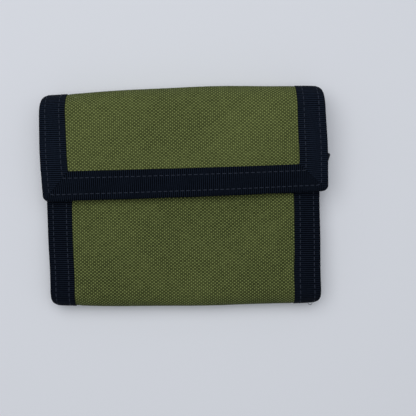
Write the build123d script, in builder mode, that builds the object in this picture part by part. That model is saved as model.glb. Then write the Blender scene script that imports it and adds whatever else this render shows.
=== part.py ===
"""Trifold wallet: one fabric strip folded over a back panel, closed by a hook-and-loop flap.

Frame: origin at the centre of the closed wallet's footprint, on its back face. +X runs along
the fold lines, +Y towards the top fold that carries the flap, +Z from the back to the flap.
The strip runs front panel - bottom spine - back panel - top spine - flap. Each spine is half
a tube, and turns a quarter turn at each of its two edges when the wallet opens.
Depths are measured inwards from the strip's outer face.
"""

from build123d import *
import math
import os

# ---- Closed wallet -----------------------------------------------------------------------
flap_width = 127.0
front_width = 122.5
closed_height = 96.2
front_height = 13.0        # outer face of the front panel above the base, at the bottom fold
front_droop = 3.0          # how much lower that face lies at its free edge
front_edge_y = 8.35
flap_edge_y = 1.1
flap_clearance = 3.5       # between the front panel and the flap, filled by the hook-and-loop
flap_rise = 4.0            # how much higher the flap lies at the top fold than at its edge

# ---- Fabric layers -----------------------------------------------------------------------
fabric_gap = 0.05
shell_thickness = 1.0
lining_thickness = 0.4
note_gap = 0.8             # note compartment, between the shell and the lining
flap_lining_gap = 0.1
pocket_fabric = 0.5
pocket_gap = 0.4
tape_width = 11.5
tape_thickness = 0.45
tape_leg_width = 6.0
front_end_tape_width = 7.0  # narrower, so that the flap hides it
tape_leg = 0.3

# ---- Closure, pockets and window ---------------------------------------------------------
closure_length = 90.0
closure_width = 5.7
closure_backing = 0.4
closure_setback = 1.0      # from the front panel's free edge
pocket_side_gap = 0.3
lower_pocket_top = 4.0
upper_pocket_top = 14.0
pocket_fold_gap = 1.5
trim_width = 7.0
trim_thickness = 0.3
window_width = 78.0
window_height = 30.0
window_pocket_start = 7.0  # from the front panel's free edge
window_margin = 6.0
window_sheet = 0.2

# ---- Zip ---------------------------------------------------------------------------------
zip_y = 23.35
zip_length = 98.0
zip_slot_width = 5.0
zip_tape_width = 6.0
zip_tape_thickness = 0.25
coil_width = 3.0
coil_height = 0.9
stop_length = 1.4
slider_x = 43.5
slider_length = 9.0
slider_width = 7.0
slider_nose_width = 4.4
slider_thickness = 0.85
bridge_length = 5.0
bridge_width = 1.6
bridge_wall = 0.9
bridge_opening = 1.4
pull_length = 24.7
pull_width = 6.5
pull_thickness = 1.0
pull_eye_length = 3.3
pull_eye_width = 4.2
pull_bar = 0.9
pull_turn = -20.0          # degrees from +X

# ---- Derived fold geometry ---------------------------------------------------------------
half_height = closed_height / 2
bottom_radius = front_height / 2
bottom_fold_y = -half_height + bottom_radius
front_run = front_edge_y - bottom_fold_y
front_slope = front_droop / front_run
front_length = math.hypot(front_run, front_droop)

flap_layers = shell_thickness + flap_lining_gap + lining_thickness + tape_leg
front_under_flap = front_height - front_slope * (flap_edge_y - bottom_fold_y)
flap_edge_height = front_under_flap + flap_clearance + flap_layers
flap_height = flap_edge_height + flap_rise
top_radius = flap_height / 2
top_fold_y = half_height - top_radius
flap_run = top_fold_y - flap_edge_y
flap_curve = (flap_run**2 + flap_rise**2) / (2 * flap_rise)
spine_end_angle = 8.0      # left free at each end of a spine, so that its edges can turn

# ---- Derived depths ----------------------------------------------------------------------
tape_seat = tape_thickness + fabric_gap
lining_depth = shell_thickness + note_gap
lining_back = lining_depth + lining_thickness
flap_lining_depth = shell_thickness + flap_lining_gap
panel_depth = lining_back + 2 * pocket_gap
panel_back = panel_depth + pocket_fabric
upper_pocket_depth = panel_back + pocket_gap
upper_pocket_back = upper_pocket_depth + pocket_fabric
lower_pocket_depth = upper_pocket_back + pocket_gap
lower_pocket_back = lower_pocket_depth + pocket_fabric
window_frame_depth = lining_back + tape_leg + pocket_gap
window_sheet_depth = window_frame_depth - window_sheet - fabric_gap

# ---- Insets from the strip's side edges --------------------------------------------------
LEFT = -1
RIGHT = 1
lining_inset = tape_thickness + fabric_gap
face_inset = tape_width + fabric_gap
pocket_inset = tape_leg_width + pocket_side_gap


def back_half_width(y):
    """The back panel tapers from the flap's width to the front panel's."""
    share = (y - bottom_fold_y) / (top_fold_y - bottom_fold_y)
    return (front_width + (flap_width - front_width) * share) / 2


def flap_outer(y):
    """Height of the flap's outer face, level at the top fold and falling to its free edge."""
    return flap_height - flap_curve + math.sqrt(flap_curve**2 - (top_fold_y - y) ** 2)


# Each band below is a slab of one part of the strip, between two side limits and two depths.
# A side limit is (side, inset from that side's edge).


def back_band(left, right, outer, inner, low=bottom_fold_y, high=top_fold_y):
    corners = [
        (left[0] * (back_half_width(low) - left[1]), low),
        (right[0] * (back_half_width(low) - right[1]), low),
        (right[0] * (back_half_width(high) - right[1]), high),
        (left[0] * (back_half_width(high) - left[1]), high),
    ]
    with BuildSketch(Plane.XY.offset(outer)) as outline:
        with BuildLine():
            Polyline(*corners, close=True)
        make_face()
    extrude(outline.sketch, amount=inner - outer)


# Local +Y runs from the front panel's free edge to the bottom fold, local +Z inwards.
front_plane = Plane(
    origin=(0, front_edge_y, front_height - front_droop),
    x_dir=(1, 0, 0),
    z_dir=(0, -front_slope, -1),
)


def front_band(left, right, outer, inner, low=0.0, high=front_length, mode=Mode.ADD):
    x_left = left[0] * (front_width / 2 - left[1])
    x_right = right[0] * (front_width / 2 - right[1])
    with BuildSketch(front_plane.offset(outer)) as outline:
        with Locations(((x_left + x_right) / 2, (low + high) / 2)):
            Rectangle(abs(x_right - x_left), high - low)
    extrude(outline.sketch, amount=inner - outer, mode=mode)


def spine_band(centre, radius, start_angle, half_width, left, right, outer, inner):
    x_left = left[0] * (half_width - left[1])
    x_right = right[0] * (half_width - right[1])
    sweep_angle = 180 - 2 * spine_end_angle
    with BuildSketch(Plane.YZ.offset(min(x_left, x_right))) as section:
        with BuildLine():
            outside = CenterArc(centre, radius - outer, start_angle, sweep_angle)
            inside = CenterArc(centre, radius - inner, start_angle, sweep_angle)
            Line(outside @ 0, inside @ 0)
            Line(outside @ 1, inside @ 1)
        make_face()
    extrude(section.sketch, amount=abs(x_right - x_left))


def bottom_spine_band(left, right, outer, inner):
    centre = (bottom_fold_y, bottom_radius)
    start_angle = 90 + spine_end_angle
    spine_band(centre, bottom_radius, start_angle, front_width / 2, left, right, outer, inner)


def top_spine_band(left, right, outer, inner):
    centre = (top_fold_y, top_radius)
    start_angle = -90 + spine_end_angle
    spine_band(centre, top_radius, start_angle, flap_width / 2, left, right, outer, inner)


def flap_band(left, right, outer, inner, low=flap_edge_y, high=top_fold_y):
    x_left = left[0] * (flap_width / 2 - left[1])
    x_right = right[0] * (flap_width / 2 - right[1])
    middle = (low + high) / 2
    with BuildSketch(Plane.YZ.offset(min(x_left, x_right))) as section:
        with BuildLine():
            outside = ThreePointArc(
                (low, flap_outer(low) - outer),
                (middle, flap_outer(middle) - outer),
                (high, flap_outer(high) - outer),
            )
            inside = ThreePointArc(
                (low, flap_outer(low) - inner),
                (middle, flap_outer(middle) - inner),
                (high, flap_outer(high) - inner),
            )
            Line(outside @ 0, inside @ 0)
            Line(outside @ 1, inside @ 1)
        make_face()
    extrude(section.sketch, amount=abs(x_right - x_left))


def side_binding(band, side, inner):
    """A tape folded over one side edge, from the outer face down to the layer's back."""
    band((side, tape_width), (side, 0), 0, tape_thickness)
    band((side, tape_thickness), (side, 0), 0, inner + tape_leg)
    band((side, tape_leg_width), (side, 0), inner, inner + tape_leg)


def end_binding(band, edge, width, inner):
    """A tape folded over a free end, between the two side tapes."""
    band((LEFT, face_inset), (RIGHT, face_inset), 0, tape_thickness, edge, edge + width)
    band((LEFT, face_inset), (RIGHT, face_inset), 0, inner, edge, edge + tape_thickness)
    leg_inset = tape_leg_width + fabric_gap
    leg_end = edge + tape_leg_width
    band((LEFT, leg_inset), (RIGHT, leg_inset), inner, inner + tape_leg, edge, leg_end)


bands = {
    "back": back_band,
    "bottom_spine": bottom_spine_band,
    "front": front_band,
    "top_spine": top_spine_band,
    "flap": flap_band,
}
free_edges = {"front": 0.0, "flap": flap_edge_y}
end_tape_widths = {"front": front_end_tape_width, "flap": tape_width}
pieces = []


def keep(piece, name):
    """Labels a finished piece and lists it for writing."""
    piece.label = name
    pieces.append(piece)


# ---- Strip: outer shell, lining and edge tapes, one piece for each part that turns ---------
for place, band in bands.items():
    on_flap = place == "flap"
    lining_face = flap_lining_depth if on_flap else lining_depth
    layers_back = lining_face + lining_thickness
    ends = {}
    face_ends = {}
    if place in free_edges:
        ends = {"low": free_edges[place] + lining_inset}
        face_ends = {"low": free_edges[place] + end_tape_widths[place] + fabric_gap}

    with BuildPart() as shell:
        band((LEFT, lining_inset), (RIGHT, lining_inset), tape_seat, shell_thickness, **ends)
        band((LEFT, face_inset), (RIGHT, face_inset), 0, tape_seat, **face_ends)
    keep(shell.part, f"shell_{place}")

    with BuildPart() as lining:
        band((LEFT, lining_inset), (RIGHT, lining_inset), lining_face, layers_back, **ends)
    keep(lining.part, f"lining_{place}")

    with BuildPart() as left_tape:
        side_binding(band, LEFT, layers_back)
    keep(left_tape.part, f"tape_left_{place}")

    # The note compartment is open along the right side, from the front panel to the flap,
    # so the shell and the lining each have a tape of their own there.
    with BuildPart() as right_tape:
        side_binding(band, RIGHT, layers_back if on_flap else shell_thickness)
    keep(right_tape.part, f"tape_right_{place}")

    if not on_flap:
        with BuildPart() as lining_tape:
            leg_face = lining_depth - tape_leg
            leg_back = lining_back + tape_leg
            band((RIGHT, tape_leg_width), (RIGHT, 0), leg_face, lining_depth)
            band((RIGHT, tape_thickness), (RIGHT, 0), leg_face, leg_back)
            band((RIGHT, tape_leg_width), (RIGHT, 0), lining_back, leg_back)
        keep(lining_tape.part, f"lining_tape_{place}")

    if place in free_edges:
        with BuildPart() as end_tape:
            end_binding(band, free_edges[place], end_tape_widths[place], layers_back)
        keep(end_tape.part, f"tape_end_{place}")

# ---- Hook-and-loop closure ---------------------------------------------------------------
with BuildPart() as loop_strip:
    loop_inset = (front_width - closure_length) / 2
    front_band(
        (LEFT, loop_inset),
        (RIGHT, loop_inset),
        -fabric_gap - closure_backing,
        -fabric_gap,
        closure_setback,
        closure_setback + closure_width,
    )
keep(loop_strip.part, "loop_strip")

with BuildPart() as hook_strip:
    hook_inset = (flap_width - closure_length) / 2
    hook_high = front_edge_y - closure_setback
    flap_band(
        (LEFT, hook_inset),
        (RIGHT, hook_inset),
        flap_layers + fabric_gap,
        flap_layers + fabric_gap + closure_backing,
        hook_high - closure_width,
        hook_high,
    )
keep(hook_strip.part, "hook_strip")

# ---- Zipped coin pocket on the back panel's inside -----------------------------------------
pocket_low = bottom_fold_y + pocket_fold_gap
pocket_high = top_fold_y - pocket_fold_gap
pocket_sides = ((LEFT, pocket_inset), (RIGHT, pocket_inset))

with BuildPart() as coin_pocket:
    back_band(*pocket_sides, panel_depth, panel_back, pocket_low, pocket_high)
    with BuildSketch(Plane.XY.offset(panel_depth)) as slot:
        with Locations((0, zip_y)):
            SlotOverall(zip_length, zip_slot_width)
    extrude(slot.sketch, amount=pocket_fabric, mode=Mode.SUBTRACT)
keep(coin_pocket.part, "coin_pocket_panel")

coil_base = panel_depth - fabric_gap - zip_tape_thickness
coil_top = coil_base + coil_height
coil_length = zip_length - 2 * zip_slot_width
for side, name in ((1, "zip_tape_upper"), (-1, "zip_tape_lower")):
    with BuildPart() as zip_tape:
        with BuildSketch(Plane.XY.offset(coil_base)):
            with Locations((0, zip_y + side * (coil_width + fabric_gap + zip_tape_width) / 2)):
                Rectangle(zip_length + zip_slot_width, zip_tape_width)
        extrude(amount=zip_tape_thickness)
    keep(zip_tape.part, name)

with BuildPart() as zip_coil:
    with BuildSketch(Plane.XY.offset(coil_base)):
        with Locations((0, zip_y)):
            Rectangle(coil_length, coil_width)
    extrude(amount=coil_height)
    fillet(zip_coil.edges().filter_by(Axis.X).group_by(Axis.Z)[-1], coil_height / 2)
keep(zip_coil.part, "zip_coil")

with BuildPart() as zip_stops:
    with BuildSketch(Plane.XY.offset(coil_base)):
        with Locations((0, zip_y)):
            with GridLocations(coil_length + stop_length + 2 * fabric_gap, 0, 2, 1):
                Rectangle(stop_length, coil_width)
    extrude(amount=coil_height)
keep(zip_stops.part, "zip_stops")

slider_base = coil_top + 2 * fabric_gap
slider_top = slider_base + slider_thickness
with BuildPart() as zip_slider:
    slider_outline = (
        (-slider_length / 2, -slider_nose_width / 2),
        (slider_length / 2, -slider_width / 2),
        (slider_length / 2, slider_width / 2),
        (-slider_length / 2, slider_nose_width / 2),
    )
    with BuildSketch(Plane.XY.offset(slider_base)):
        with Locations((slider_x, zip_y)):
            Polygon(*slider_outline, align=None)
    extrude(amount=slider_thickness)
    fillet(zip_slider.edges().filter_by(Axis.Z), slider_thickness)
    # The bridge is an arch over the slider, standing across the pull's bar.
    with BuildSketch(Plane.XZ.offset(-zip_y - bridge_width / 2)) as bridge:
        with Locations((slider_x, slider_top + (bridge_opening + bridge_wall) / 2)):
            Rectangle(bridge_length, bridge_opening + bridge_wall)
        fillet(bridge.vertices().group_by(Axis.Y)[-1], bridge_wall)
        with Locations((slider_x, slider_top + bridge_opening / 2)):
            Rectangle(bridge_length - 2 * bridge_wall, bridge_opening, mode=Mode.SUBTRACT)
    extrude(bridge.sketch, amount=bridge_width)
keep(zip_slider.part, "zip_slider")

bar_height = slider_top + bridge_opening / 2
turn = math.radians(pull_turn)
pull_plane = Plane(
    origin=(slider_x, zip_y, bar_height),
    x_dir=(math.cos(turn), math.sin(turn), 0),
    z_dir=(0, 0, 1),
)
with BuildPart() as zip_pull:
    with BuildSketch(pull_plane.offset(-pull_thickness / 2)) as outline:
        with Locations((-pull_bar / 2, 0)):
            Rectangle(pull_length, pull_width, align=(Align.MIN, Align.CENTER))
        fillet(outline.vertices(), pull_bar)
        with Locations((pull_bar / 2, 0)):
            Rectangle(
                pull_eye_length,
                pull_eye_width,
                align=(Align.MIN, Align.CENTER),
                mode=Mode.SUBTRACT,
            )
    extrude(amount=pull_thickness)
keep(zip_pull.part, "zip_pull_tab")

# ---- Two tiered card pockets over the coin pocket ------------------------------------------
card_pockets = (
    ("upper", upper_pocket_depth, upper_pocket_back, upper_pocket_top),
    ("lower", lower_pocket_depth, lower_pocket_back, lower_pocket_top),
)
for tier, face, back, top in card_pockets:
    with BuildPart() as card_pocket:
        back_band(*pocket_sides, face, back, pocket_low, top)
    keep(card_pocket.part, f"card_pocket_{tier}")
    with BuildPart() as trim:
        back_band(*pocket_sides, back, back + trim_thickness, top - trim_width, top)
    keep(trim.part, f"card_pocket_trim_{tier}")

# ---- Window pocket on the front panel's inside ---------------------------------------------
window_end = front_length - pocket_fold_gap
window_centre = (window_pocket_start + window_end) / 2
with BuildPart() as window_frame:
    window_frame_back = window_frame_depth + pocket_fabric
    front_band(*pocket_sides, window_frame_depth, window_frame_back, window_pocket_start, window_end)
    window_inset = (front_width - window_width) / 2
    front_band(
        (LEFT, window_inset),
        (RIGHT, window_inset),
        window_frame_depth,
        window_frame_back,
        window_centre - window_height / 2,
        window_centre + window_height / 2,
        Mode.SUBTRACT,
    )
keep(window_frame.part, "window_frame")

with BuildPart() as window_pane:
    pane_inset = window_inset - window_margin
    front_band(
        (LEFT, pane_inset),
        (RIGHT, pane_inset),
        window_sheet_depth,
        window_sheet_depth + window_sheet,
        window_centre - window_height / 2 - window_margin,
        window_centre + window_height / 2 + window_margin,
    )
keep(window_pane.part, "window_pane")

print(f"bottom fold: y {bottom_fold_y:.3f}, radius {bottom_radius:.3f}")
print(f"top fold: y {top_fold_y:.3f}, radius {top_radius:.3f}")
print(f"pull pivot: {slider_x:.3f}, {zip_y:.3f}, {bar_height:.3f}")

# ---- Write ---------------------------------------------------------------------------------
os.makedirs("parts", exist_ok=True)
for piece in pieces:
    export_step(piece, f"parts/{piece.label}.step")
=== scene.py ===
"""Looks for the trifold wallet: woven shell, grosgrain edge tapes, lining, pockets and zip.

Everything soft is laid out on the flat strip first, in millimetres, and then folded:
u runs across the strip, v along it from the front panel's free edge to the flap's, and
h is the depth below the strip's outer face.
"""

import math
from dataclasses import dataclass

import bmesh
import bpy
import numpy as np
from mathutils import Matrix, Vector


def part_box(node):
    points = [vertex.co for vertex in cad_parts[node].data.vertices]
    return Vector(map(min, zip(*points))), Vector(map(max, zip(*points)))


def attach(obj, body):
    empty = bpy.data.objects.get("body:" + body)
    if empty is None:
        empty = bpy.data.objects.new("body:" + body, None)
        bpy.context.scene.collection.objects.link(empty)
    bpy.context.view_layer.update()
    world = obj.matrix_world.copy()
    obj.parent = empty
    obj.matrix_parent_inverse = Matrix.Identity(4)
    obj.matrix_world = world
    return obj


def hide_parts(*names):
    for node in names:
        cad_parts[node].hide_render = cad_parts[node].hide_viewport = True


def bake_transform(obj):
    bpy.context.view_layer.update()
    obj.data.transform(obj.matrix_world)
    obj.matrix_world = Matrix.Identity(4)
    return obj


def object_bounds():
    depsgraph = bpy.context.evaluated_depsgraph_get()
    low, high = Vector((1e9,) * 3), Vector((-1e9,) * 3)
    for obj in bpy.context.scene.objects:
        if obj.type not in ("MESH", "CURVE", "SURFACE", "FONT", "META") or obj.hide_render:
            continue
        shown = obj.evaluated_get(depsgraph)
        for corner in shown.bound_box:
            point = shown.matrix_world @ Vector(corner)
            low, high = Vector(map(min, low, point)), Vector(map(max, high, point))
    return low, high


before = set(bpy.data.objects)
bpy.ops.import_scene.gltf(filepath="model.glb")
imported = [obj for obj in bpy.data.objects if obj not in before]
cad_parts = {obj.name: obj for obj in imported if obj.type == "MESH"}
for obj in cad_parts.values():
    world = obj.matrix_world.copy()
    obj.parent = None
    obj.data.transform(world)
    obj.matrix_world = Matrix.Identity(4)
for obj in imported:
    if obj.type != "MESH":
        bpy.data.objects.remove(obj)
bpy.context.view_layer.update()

MM = 0.001


# ---- Fold geometry, read from the frame ----
def corner_mm(node, which):
    """A CAD node's lowest (0) or highest (1) corner in millimetres."""
    return np.array(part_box(node)[which]) / MM


def height_at_low_y(node):
    """Highest point, in millimetres, of the end of a CAD node that has the lowest y."""
    points = np.array([vertex.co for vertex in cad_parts[node].data.vertices]) / MM
    return points[points[:, 1] < points[:, 1].min() + 0.01, 2].max()


bottom_fold_y = corner_mm("shell_back", 0)[1]
top_fold_y = corner_mm("shell_back", 1)[1]
front_edge_y = corner_mm("tape_left_front", 1)[1]
flap_edge_y = corner_mm("tape_left_flap", 0)[1]
front_height = corner_mm("tape_left_front", 1)[2]
flap_height = corner_mm("tape_left_flap", 1)[2]
flap_edge_height = height_at_low_y("tape_left_flap")
front_half = -corner_mm("tape_left_front", 0)[0]
flap_half = -corner_mm("tape_left_flap", 0)[0]

BOTTOM_RADIUS = front_height / 2
TOP_RADIUS = flap_height / 2
FLAP_DROP = 0.7  # the flap's edge hangs this much below its CAD plate
FLAP_REACH = 1.15  # and reaches this much further over the front panel
FRONT_DROOP = 3.0  # the front panel's covered edge lies this much below its fold

# ---- The strip's outline in profile ----
PATH_STEP = 0.25
SMOOTH_SPAN = 9  # path points averaged, so that flats run smoothly into folds


def line_points(start, end):
    count = max(2, round(math.dist(start, end) / PATH_STEP))
    return np.linspace(start, end, count, endpoint=False)


def half_turn(y, radius, start):
    """A fold's outer face: half a circle on the table, from a start angle."""
    angles = np.linspace(start, start + math.pi, round(math.pi * radius / PATH_STEP), endpoint=False)
    return np.column_stack((y + radius * np.cos(angles), radius + radius * np.sin(angles)))


def flap_profile():
    """The flap's outer face: level at the top fold, then falling to its free edge."""
    span = top_fold_y - flap_edge_y + FLAP_REACH
    y = top_fold_y - np.linspace(0, span, round(span / PATH_STEP))
    share = (top_fold_y - y) / span
    fall = flap_height - flap_edge_height
    return np.column_stack((y, flap_height - fall * share**2 - FLAP_DROP * share**8))


profile = np.vstack((
    line_points((front_edge_y, front_height - FRONT_DROOP), (bottom_fold_y, front_height)),
    half_turn(bottom_fold_y, BOTTOM_RADIUS, math.pi / 2),
    line_points((bottom_fold_y, 0), (top_fold_y, 0)),
    half_turn(top_fold_y, TOP_RADIUS, -math.pi / 2),
    flap_profile(),
))


def smoothed(points, span):
    """Running average that keeps the two end points."""
    half = span // 2
    padded = np.pad(points, ((half, half), (0, 0)), "reflect", reflect_type="odd")
    kernel = np.ones(span) / span
    return np.column_stack([np.convolve(padded[:, axis], kernel, "valid") for axis in (0, 1)])


def distance_along(points):
    """Distance from the first of a line's points to each of them, measured along the line."""
    return np.concatenate(([0], np.cumsum(np.linalg.norm(np.diff(points, axis=0), axis=1))))


profile = smoothed(profile, SMOOTH_SPAN)
path_v = distance_along(profile)
path_tangent = np.gradient(profile, path_v, axis=0)
path_tangent /= np.linalg.norm(path_tangent, axis=1)[:, None]
path_inward = np.column_stack((-path_tangent[:, 1], path_tangent[:, 0]))
strip_length = path_v[-1]


def v_near(y, z):
    """The strip position whose outer face is nearest to a point of the profile."""
    return path_v[np.argmin(np.hypot(profile[:, 0] - y, profile[:, 1] - z))]


v_bottom_middle = v_near(bottom_fold_y - BOTTOM_RADIUS, BOTTOM_RADIUS)
v_top_middle = v_near(top_fold_y + TOP_RADIUS, TOP_RADIUS)
v_back_low = v_near(bottom_fold_y, 0)
v_back_high = v_near(top_fold_y, 0)
v_front_fold = v_near(bottom_fold_y, front_height)
v_flap_fold = v_near(top_fold_y, flap_height)
v_back_middle = (v_back_low + v_back_high) / 2


def ease(value):
    """Smooth step from 0 to 1."""
    value = np.clip(value, 0, 1)
    return value * value * (3 - 2 * value)


def bump(value, centre, reach):
    return np.exp(-(((value - centre) / reach) ** 2))


def between(start, end, share):
    return start + (end - start) * share


def along_back(v):
    """From 0 on the front panel to 1 on the flap, changing along the back."""
    return ease((v - v_back_low) / (v_back_high - v_back_low))


def down_flap(v):
    """From 0 at the flap's fold to 1 at its free edge."""
    return ease((v - v_flap_fold) / (strip_length - v_flap_fold))


UNEVEN_WIDTH = 0.45  # the sewn strip is a little wider in front and narrower at the top fold
UNEVEN_PLACE = 0.55  # and its ends lie a little to either side
BOTTOM_NARROWING = 1.0  # pulled in where the bottom fold is turned
NARROWING_REACH = 38.0
FLAP_SPREAD = 0.63  # the flap widens again below its fold
FLAP_SPREAD_LENGTH = 18.0
FLAP_LEAN = 0.25  # how far the flap's free edge lies to the right


def half_width(v):
    """Half the strip's width: it widens along the back from the front panel's to the flap's."""
    wander = 0.06 * np.sin(v / 9) + 0.05 * np.sin(v / 4.1 + 1)
    narrowing = BOTTOM_NARROWING * bump(v, v_bottom_middle, NARROWING_REACH)
    front_side = front_half + UNEVEN_WIDTH - narrowing
    flap_side = flap_half - UNEVEN_WIDTH + FLAP_SPREAD * ease((v - v_flap_fold) / FLAP_SPREAD_LENGTH)
    return between(front_side, flap_side, along_back(v)) + wander


def drift(v):
    """How far the strip's middle line lies to the right."""
    return UNEVEN_PLACE * (2 * along_back(v) - 1) + FLAP_LEAN * down_flap(v)


# ---- Softness: how the sewn wallet departs from flat plates ----
TOP_BULGE = 1.75  # how far each fold stands out in its middle, and its reach along the strip
TOP_REACH = 9.0
TOP_BULGE_SIDE = 5.0  # the top fold stands out most a little right of its middle
BOTTOM_BULGE = 1.2
BOTTOM_REACH = 6.0
CORNER_SPAN = 4.2  # the folds' corners are rounded over this width
TOP_PINCH = 2.6  # and drawn in this much
BOTTOM_PINCH = 2.1
PILLOW = 0.45  # how far a panel's cloth stands up between its tapes
FRONT_SKEW = 0.019  # turns of the front panel and of the flap's edge, in radians
FLAP_SKEW = 0.007
FLAP_BOW = 0.35  # how much further the flap's edge reaches in its middle than at its ends


def crown(u, half, middle=0.0):
    """From 0 at both sides to 1 in the middle."""
    return np.cos(np.clip((u - middle) / half, -1, 1) * math.pi / 2)


def outward(u, v):
    """How far the strip stands out from its plain profile."""
    half = half_width(v)
    inset = half - np.abs(u)
    top = bump(v, v_top_middle, TOP_REACH)
    bottom = bump(v, v_bottom_middle, BOTTOM_REACH)
    out = TOP_BULGE * top * crown(u, half, TOP_BULGE_SIDE) + BOTTOM_BULGE * bottom * crown(u, half)
    near_corner = 1 - np.sqrt(1 - np.clip(1 - inset / CORNER_SPAN, 0, 1) ** 2)
    out -= near_corner * (TOP_PINCH * top + BOTTOM_PINCH * bottom)
    inside_tape = ease((inset - 9) / 16)
    on_front = ease(v / 14) * ease((v_front_fold + 4 - v) / 14)
    on_flap = ease((v - v_flap_fold + 6) / 14) * ease((strip_length - 9 - v) / 12)
    out += PILLOW * inside_tape * (on_front + 0.8 * on_flap)
    off_back = 1 - 0.85 * ease((v - v_back_low) / 8) * ease((v_back_high - v) / 8)
    waves = 0.16 * np.sin(u / 17 + 0.8) * np.sin(v / 11 + 0.3) * ease(inset / 10)
    waves += 0.10 * np.sin(u / 7.3 + v / 9.1) * ease(inset / 12)
    return out + waves * off_back


def skew(u, v):
    """The front panel, bottom fold and flap edge sit slightly turned against the back."""
    front_share = ease((v_back_middle - v) / (v_back_middle - v_back_low))
    bow = FLAP_BOW * (u / flap_half) ** 2 * down_flap(v)
    return u * (FLAP_SKEW * down_flap(v) - FRONT_SKEW * front_share) + bow


def fold(u, v, h):
    """Points of the folded wallet, in metres, for strip coordinates in millimetres."""
    u, v, h = np.broadcast_arrays(np.asarray(u, float), np.asarray(v, float), np.asarray(h, float))
    beyond = v - np.clip(v, 0, strip_length)
    y, z = (np.interp(v, path_v, profile[:, axis]) for axis in (0, 1))
    inward_y, inward_z = (np.interp(v, path_v, path_inward[:, axis]) for axis in (0, 1))
    depth = h - outward(u, v)
    y = y + inward_y * depth + inward_z * beyond + skew(u, v)
    z = z + inward_z * depth - inward_y * beyond
    return np.stack((u + drift(v), y, z), axis=-1) * MM


def back_v(y):
    """Strip position of a point on the back panel."""
    return v_back_low + (y - bottom_fold_y)


# ---- Mesh building ----
CLOTH_STEP = 1.4  # spacing of a cloth's grid lines along the strip
SHEET_COLUMNS = 65


def add_object(name, data):
    item = bpy.data.objects.new(name, data)
    bpy.context.scene.collection.objects.link(item)
    return item


def make_piece(name, vertices, faces, uvs, material, smooth_angle=35):
    mesh = bpy.data.meshes.new(name)
    mesh.from_pydata(vertices.tolist(), [], faces)
    uv_map = mesh.uv_layers.new(name="strip")
    uv_map.data.foreach_set("uv", np.asarray(uvs, np.float32).ravel())
    mesh.materials.append(material)
    shape = bmesh.new()
    shape.from_mesh(mesh)
    inside_out = shape.calc_volume(signed=True) < 0
    shape.free()
    if inside_out:
        mesh.flip_normals()
    mesh.polygons.foreach_set("use_smooth", [True] * len(mesh.polygons))
    mesh.set_sharp_from_angle(angle=math.radians(smooth_angle))
    return add_object(name, mesh)


def closed_slab(name, outer, inner, uv_start, uv_end, material, keep=None):
    """A closed slab between two grids of points, outer and inner, of shape (rows, columns, 3).

    uv_start and uv_end hold the texture places of each row band's two sides, so that the
    thread direction may change from one band to the next. Quads that keep marks False are
    left out."""
    rows, columns = outer.shape[:2]
    if keep is None:
        keep = np.ones((rows - 1, columns - 1), bool)
    points = np.concatenate((outer.reshape(-1, 3), inner.reshape(-1, 3)))
    offset = rows * columns
    padded = np.pad(keep, 1)
    faces = []
    uvs = []
    for row, column in np.argwhere(keep).tolist():
        a = row * columns + column
        quad = (a, a + 1, a + 1 + columns, a + columns)
        places = (
            uv_start[row][column], uv_start[row][column + 1],
            uv_end[row][column + 1], uv_end[row][column],
        )
        faces += [quad, tuple(quad[corner] + offset for corner in (0, 3, 2, 1))]
        uvs += [*places, *(places[corner] for corner in (0, 3, 2, 1))]
        neighbours = (
            padded[row, column + 1], padded[row + 1, column + 2],
            padded[row + 2, column + 1], padded[row + 1, column],
        )
        for start, filled in enumerate(neighbours):
            if not filled:
                end = (start + 1) % 4
                faces.append((quad[end], quad[start], quad[start] + offset, quad[end] + offset))
                uvs += [places[end], places[start], places[start], places[end]]
    used = np.unique(faces)
    return make_piece(name, points[used], np.searchsorted(used, faces).tolist(), uvs, material)


def slab(name, u, v, outer, inner, material, keep=None):
    """A closed slab over a grid of strip points, between two depths."""
    place = np.stack((u, v), axis=-1)
    return closed_slab(
        name, fold(u, v, outer), fold(u, v, inner), place[:-1], place[1:], material, keep)


def samples(start, end, step):
    return np.linspace(start, end, max(2, round(abs(end - start) / step) + 1))


def rectangle(v_start, v_end, u_start, u_end, step=CLOTH_STEP):
    """The u and v grids of a plain rectangle."""
    v, u = np.meshgrid(samples(v_start, v_end, step), samples(u_start, u_end, step), indexing="ij")
    return u, v


def sheet(name, v_start, v_end, inset, depths, material):
    """A fabric layer across the strip: depths(u, v) gives its outer and inner depth."""
    v = samples(v_start, v_end, CLOTH_STEP)[:, None]
    u = (half_width(v) - corner_cut(v) - inset) * np.linspace(-1, 1, SHEET_COLUMNS)[None, :]
    v = np.broadcast_to(v, u.shape)
    return slab(name, u, v, *depths(u, v), material)


# ---- Layers of the sewn strip ----
TAPE_WIDTH = 11.5  # the width that insets across a tape are given for
LEFT_TAPE = (11.7, 10.6, 11.4, 12.4)  # as sewn: at the front edge, both folds and the flap's edge
RIGHT_TAPE = (11.45, 12.15, 12.45, 12.9)
FLAP_END_TAPE = 13.4
FLAP_END_SLANT = 0.35  # the flap's end tape is this much wider at the left, narrower at the right
TAPE_THICKNESS = 0.42
TAPE_PROUD = 0.16  # the tape's top face above the strip's outer face
TAPE_BACK_WIDTH = 10.5  # the tape's leg on the inside
FRONT_END_WIDTH = 7.0
FRONT_CORNER = 3.0
FLAP_CORNER = 2.7
SHELL_INSET = 0.7  # shell and lining end this far inside the tape's outer edge
SEWN_SHELL = 0.85  # depths of the shell's and lining's faces where they are sewn flat
SEWN_LINING = 0.90
MOUTH_LINING = 1.90  # the lining along the note compartment's mouth
FREE_LINING = 1.75  # and away from the tapes, on the back and on the flap
FREE_FLAP_LINING = 1.15
SEWN_STACK = 1.20  # depth of shell and lining together, at the left and at the mouth
MOUTH_STACK = 2.20
SEWN_SHEET = 0.25  # what each pocket sheet adds under the tape
POCKET_THICKNESS = 0.5
THIN_POCKET = 0.22  # a pocket sheet pressed flat under the tape
LEG_GAP = 0.05  # between the stack and a tape's inner leg


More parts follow.
